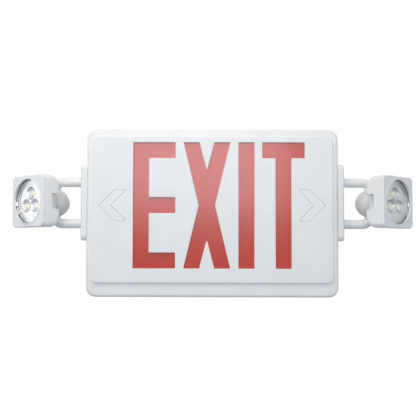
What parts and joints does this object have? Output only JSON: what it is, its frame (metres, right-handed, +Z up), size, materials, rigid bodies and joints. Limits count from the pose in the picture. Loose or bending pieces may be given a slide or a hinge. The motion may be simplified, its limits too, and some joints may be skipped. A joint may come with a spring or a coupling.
{
  "type": "emergency exit light",
  "caption": "Wall-mounted emergency exit sign with a lit stencil face, a battery back-up inside and a swivelling lamp head on a looped arm at each side.",
  "frame": {"origin": "centre of the two wall-screw holes, on the rear face of the back plate", "axes": "+Z up, +X across the sign to the right as seen from the front, +Y towards the wall; the face looks along -Y"},
  "size_m": [0.4884, 0.0748, 0.2036],
  "materials": {
    "housing_white": "moulded ABS, light satin",
    "face_white": "moulded ABS, light satin",
    "back_white": "moulded ABS, plain",
    "head_white": "moulded ABS, light satin",
    "tube_white": "white powder coat",
    "diffuser_red": "translucent red acrylic",
    "tray_white": "moulded white",
    "board_green": "solder mask",
    "led_yellow": "silicone over phosphor",
    "core_steel": "varnished laminations",
    "capacitor_black": "shrink sleeve",
    "relay_blue": "moulded case",
    "battery_wrap": "shrink wrap",
    "terminal_grey": "moulded nylon",
    "switch_black": "moulded case",
    "screw_steel": "zinc plate",
    "button_grey": "moulded, polished",
    "indicator_clear": "clear light pipe",
    "lens_clear": "clear polycarbonate",
    "reflector_chrome": "vacuum metallised"
  },
  "bodies": {
    "sign": {"housing": "housing_white", "back_plate": "back_white", "face_plate": "face_white", "red_diffuser": "diffuser_red", "light_tray": "tray_white", "sign_led_board": "board_green", "sign_leds": "led_yellow", "cover_screws": "screw_steel", "charger_board": "board_green", "transformer": "core_steel", "capacitors": "capacitor_black", "transfer_relay": "relay_blue", "battery_pack": "battery_wrap", "battery_clip": "terminal_grey", "terminal_block": "terminal_grey", "test_board": "board_green", "push_switch": "switch_black", "indicator_led": "indicator_clear", "indicator_lens": "indicator_clear", "left_bracket": "housing_white", "left_bracket_screws": "screw_steel", "left_arm_loop": "tube_white", "right_bracket": "housing_white", "right_bracket_screws": "screw_steel", "right_arm_loop": "tube_white"},
    "button": {"test_button": "button_grey", "switch_plunger": "switch_black"},
    "left_swivel": {"left_ball_front": "head_white", "left_ball_rear": "head_white", "left_ball_screws": "screw_steel"},
    "left_head": {"left_head_shell": "head_white", "left_head_bezel": "head_white", "left_lens": "lens_clear", "left_reflector": "reflector_chrome", "left_led_board": "board_green", "left_leds": "led_yellow", "left_clamp_screw": "screw_steel", "left_clamp_nut": "screw_steel"},
    "right_swivel": {"right_ball_front": "head_white", "right_ball_rear": "head_white", "right_ball_screws": "screw_steel"},
    "right_head": {"right_head_shell": "head_white", "right_head_bezel": "head_white", "right_lens": "lens_clear", "right_reflector": "reflector_chrome", "right_led_board": "board_green", "right_leds": "led_yellow", "right_clamp_screw": "screw_steel", "right_clamp_nut": "screw_steel"}
  },
  "joints": [
    {"name": "test_press", "type": "slide", "parent": "sign", "child": "button", "axis": [0, 0, 1], "range_m": [0, 0.0012], "stiffness_N_per_m": 900, "springref_m": -0.0003},
    {"name": "left_turn", "type": "hinge", "parent": "sign", "child": "left_swivel", "pos_m": [-0.1931, -0.023, 0.0128], "axis": [0, 0, 1], "range_deg": [-20, 45]},
    {"name": "left_tilt", "type": "hinge", "parent": "left_swivel", "child": "left_head", "pos_m": [-0.1931, -0.023, 0.0128], "axis": [0.7431, -0.6691, 0], "range_deg": [-20, 20]},
    {"name": "right_turn", "type": "hinge", "parent": "sign", "child": "right_swivel", "pos_m": [0.1931, -0.023, 0.0128], "axis": [0, 0, 1], "range_deg": [-45, 20]},
    {"name": "right_tilt", "type": "hinge", "parent": "right_swivel", "child": "right_head", "pos_m": [0.1931, -0.023, 0.0128], "axis": [0.7254, 0.6884, 0], "range_deg": [-20, 20]}
  ]
}
